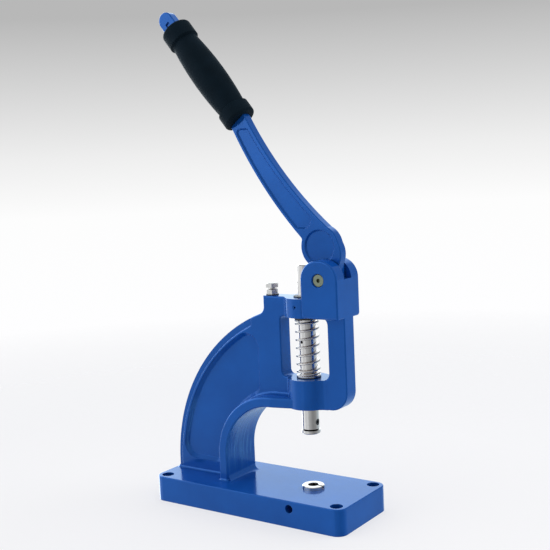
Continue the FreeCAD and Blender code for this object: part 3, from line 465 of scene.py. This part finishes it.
LOW_TONES = tones((-179.9, 1.0, 0.9), (-150, 0.9, 0.9), (-138, 0.9, 0.8), (-124, 4.0, 0.4), (-106, 4.0, 0.4),
                  (-94, 1.0, 0.6), (-60, 1.3, 0.6), (-45, 0.9, 0.6), (-25, 0.8, 0.6), (-3, 0.95, 0.6),
                  (10, 0.58, 0.6), (35, 0.46, 0.6), (60, 0.30, 0.6), (100, 0.36, 0.6), (122, 0.55, 0.8),
                  (138, 0.66, 1.2), (152, 0.66, 1.2), (162, 0.9, 0.9), (179.9, 1.0, 0.9))
HIGH_TONES = tones((-179.9, 1.2, 0.7), (-165, 1.7, 0.7), (-140, 1.9, 0.7), (-125, 4.0, 0.7), (-95, 4.0, 0.7),
                   (-80, 2.0, 0.7), (-60, 2.0, 0.6), (-30, 2.1, 0.6), (-3, 1.1, 0.6), (12, 0.6, 0.6),
                   (60, 0.5, 0.6), (85, 0.8, 0.6), (110, 0.7, 0.6), (133, 0.45, 0.7), (172, 0.40, 0.7),
                   (179.9, 1.2, 0.7))
FILL_TONES = tones((-179.9, 0.85, 0.0), (-100, 1.1, 0.0), (-50, 1.0, 0.0), (-10, 0.72, 0.0), (35, 0.45, 0.0),
                   (80, 0.72, 0.0), (130, 0.95, 0.0), (179.9, 0.85, 0.0))
FILL_STRENGTH = 3.0
LOW_TO_HIGH_Z = (-0.08, 0.04)
OVERHEAD_Z = (0.50, 0.75)
OVERHEAD_TONE = (0.13, 0.14, 0.145, 1.0)
BACKDROP_Z = (-0.25, 0.25)
BACKDROP = [(0.0, linear(240, 241, 244)), (0.20, linear(254, 254, 255)), (0.42, linear(253, 253, 253)),
            (0.54, linear(238, 238, 238)), (0.68, linear(212, 212, 212)), (0.81, linear(184, 184, 184))]


def make_world():
    """Backdrop for the camera, bright and dark cards for gloss, and soft fill for all else."""
    world = bpy.data.worlds.new("studio")
    world.cycles.sampling_method = "NONE"
    scene.world = world
    g = Graph(world)
    coords = g.add("ShaderNodeTexCoord")
    parts = g.add("ShaderNodeSeparateXYZ", {0: coords.outputs["Generated"]})
    backdrop = g.ramp(g.span(parts.outputs["Z"], 0.0, 1.0, *BACKDROP_Z), BACKDROP)
    around = g.span(g.math("ARCTAN2", parts.outputs["X"], parts.outputs["Y"]), 0.0, 1.0, -math.pi, math.pi)
    high_share = g.span(parts.outputs["Z"], 0.0, 1.0, *LOW_TO_HIGH_Z)
    cards = g.mix(high_share, g.ramp(around, LOW_TONES), g.ramp(around, HIGH_TONES))
    mirrored = g.mix(g.span(parts.outputs["Z"], 0.0, 1.0, *OVERHEAD_Z), cards, OVERHEAD_TONE)
    shown = g.add("ShaderNodeBackground", {"Color": mirrored, "Strength": TONE_FULL})
    seen = g.add("ShaderNodeBackground", {"Color": backdrop, "Strength": 1.0})
    fill = g.add("ShaderNodeBackground", {"Color": g.ramp(around, FILL_TONES), "Strength": FILL_STRENGTH})
    path = g.add("ShaderNodeLightPath")
    glossy = g.add("ShaderNodeMixShader", {0: path.outputs["Is Glossy Ray"], 1: fill, 2: shown})
    mixed = g.add("ShaderNodeMixShader", {0: path.outputs["Is Camera Ray"], 1: glossy, 2: seen})
    out = g.add("ShaderNodeOutputWorld")
    g.tree.links.new(mixed.outputs[0], out.inputs["Surface"])


# Lamps: place in metres, side in metres, power in watts

LAMP_AIM = Vector((-0.04, 0.0, 0.22))
LAMPS = {
    "key": ((-1.5, -1.1, 0.8), 1.8, 11.0),
    "side": ((1.2, 0.9, 0.7), 1.2, 9.0),
    "top": ((0.1, 0.0, 1.8), 1.8, 12.0),
}


def make_lamp(name, place, side, power):
    """Square soft lamp that isn't mirrored in the machine."""
    data = bpy.data.lights.new(name, "AREA")
    data.shape = "SQUARE"
    data.size = side
    data.energy = power
    lamp = bpy.data.objects.new(name, data)
    lamp.visible_glossy = False
    scene.collection.objects.link(lamp)
    lamp.location = place
    lamp.rotation_euler = (LAMP_AIM - Vector(place)).to_track_quat("-Z", "Y").to_euler()


make_camera()
make_floor()
make_world()
for lamp_name, lamp_values in LAMPS.items():
    make_lamp(lamp_name, *lamp_values)
materials = {"blue_paint": blue_paint(), "ground_steel": ground_steel(), "grip_plastic": grip_plastic()}
for metal_name, metal_values in SMALL_PARTS.items():
    materials[metal_name] = small_part_metal(metal_name, *metal_values)
dress(materials)
make_spring(materials["spring_steel"])

scene.view_settings.view_transform = "Standard"
